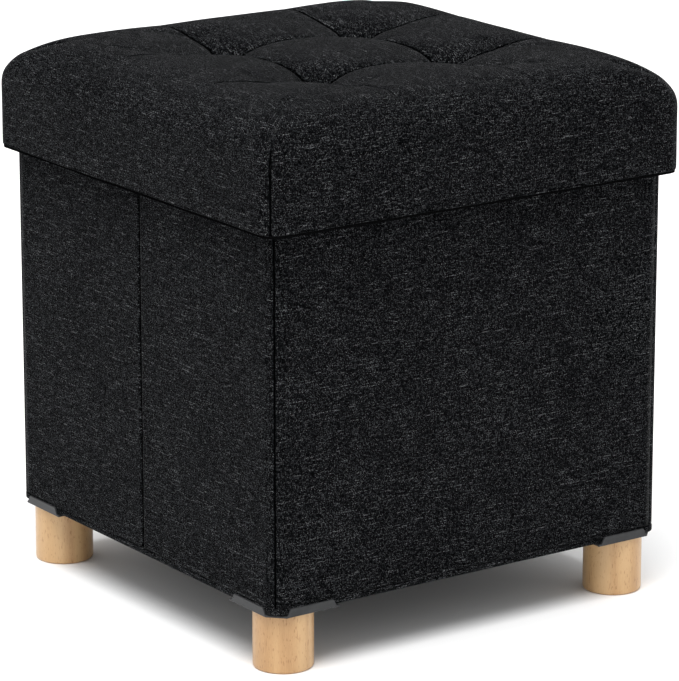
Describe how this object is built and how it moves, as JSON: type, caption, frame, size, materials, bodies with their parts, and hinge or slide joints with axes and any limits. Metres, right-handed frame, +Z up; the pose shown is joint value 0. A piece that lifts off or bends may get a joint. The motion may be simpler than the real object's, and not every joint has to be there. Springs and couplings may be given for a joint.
{
  "type": "storage ottoman",
  "caption": "Square fabric storage ottoman with a tufted lift-off lid, fold-flat creased sides and round wooden legs on steel corner brackets.",
  "frame": {"origin": "on the floor, under the middle of the seat", "axes": "+Z up, -Y out of the rigid front face, +X to the right of a person facing that front; the creased sides face -X and +X"},
  "size_m": [0.4, 0.4, 0.445],
  "materials": {
    "linen": "matte",
    "lining": "matte",
    "foam": "matte",
    "twine": "matte",
    "fibreboard": "matte",
    "beech": "satin",
    "bracket": "satin",
    "zinc": "satin",
    "washer": "satin"
  },
  "bodies": {
    "base": {"base_board": "fibreboard", "base_cover": "linen", "base_lining": "lining", "corner_bracket_front_left": "bracket", "leg_front_left": "beech", "leg_bolt_front_left": "zinc", "bracket_nut_front_left": "zinc", "corner_bracket_front_right": "bracket", "leg_front_right": "beech", "leg_bolt_front_right": "zinc", "bracket_nut_front_right": "zinc", "corner_bracket_rear_right": "bracket", "leg_rear_right": "beech", "leg_bolt_rear_right": "zinc", "bracket_nut_rear_right": "zinc", "corner_bracket_rear_left": "bracket", "leg_rear_left": "beech", "leg_bolt_rear_left": "zinc", "bracket_nut_rear_left": "zinc", "back_board": "fibreboard", "back_cover": "linen", "back_lining": "lining", "corner_fold_rear_left": "linen", "corner_fold_rear_right": "linen"},
    "lid": {"lid_board": "fibreboard", "lid_rim_front": "fibreboard", "lid_rim_rear": "fibreboard", "lid_rim_left": "fibreboard", "lid_rim_right": "fibreboard", "lid_foam": "foam", "lid_cover": "linen", "lid_lining": "lining", "tuft_tie_front_left": "twine", "tuft_tie_front_right": "twine", "tuft_tie_rear_right": "twine", "tuft_tie_rear_left": "twine", "tuft_washer_front_left": "washer", "tuft_washer_front_right": "washer", "tuft_washer_rear_right": "washer", "tuft_washer_rear_left": "washer"},
    "left_rear_side": {"left_rear_board": "fibreboard", "left_rear_cover": "linen", "left_rear_lining": "lining", "crease_tape_left": "twine"},
    "left_front_side": {"left_front_board": "fibreboard", "left_front_cover": "linen", "left_front_lining": "lining"},
    "right_rear_side": {"right_rear_board": "fibreboard", "right_rear_cover": "linen", "right_rear_lining": "lining", "crease_tape_right": "twine"},
    "right_front_side": {"right_front_board": "fibreboard", "right_front_cover": "linen", "right_front_lining": "lining"},
    "front_panel": {"front_board": "fibreboard", "front_cover": "linen", "front_lining": "lining", "corner_fold_front_left": "linen", "corner_fold_front_right": "linen"}
  },
  "joints": [
    {"name": "lid_lift", "type": "slide", "parent": "base", "child": "lid", "axis": [0, 0, 1], "range_m": [0, 0.15]},
    {"name": "left_rear_fold", "type": "hinge", "parent": "base", "child": "left_rear_side", "pos_m": [-0.1809, 0.1809, 0.222], "axis": [0, 0, 1], "range_deg": [0, 90]},
    {"name": "left_middle_fold", "type": "hinge", "parent": "left_rear_side", "child": "left_front_side", "pos_m": [-0.1887, 0, 0.222], "axis": [0, 0, 1], "range_deg": [-180, 0]},
    {"name": "left_front_fold", "type": "hinge", "parent": "left_front_side", "child": "front_panel", "pos_m": [-0.1809, -0.1809, 0.222], "axis": [0, 0, 1], "range_deg": [0, 90]},
    {"name": "right_rear_fold", "type": "hinge", "parent": "base", "child": "right_rear_side", "pos_m": [0.1809, 0.1809, 0.222], "axis": [0, 0, 1], "range_deg": [-90, 0]},
    {"name": "right_middle_fold", "type": "hinge", "parent": "right_rear_side", "child": "right_front_side", "pos_m": [0.1887, 0, 0.222], "axis": [0, 0, 1], "range_deg": [0, 180]}
  ],
  "couplings": [
    {"joint": "left_middle_fold", "follows": "left_rear_fold", "ratio": -2},
    {"joint": "left_front_fold", "follows": "left_rear_fold", "ratio": 1},
    {"joint": "right_rear_fold", "follows": "left_rear_fold", "ratio": -1},
    {"joint": "right_middle_fold", "follows": "left_rear_fold", "ratio": 2}
  ]
}
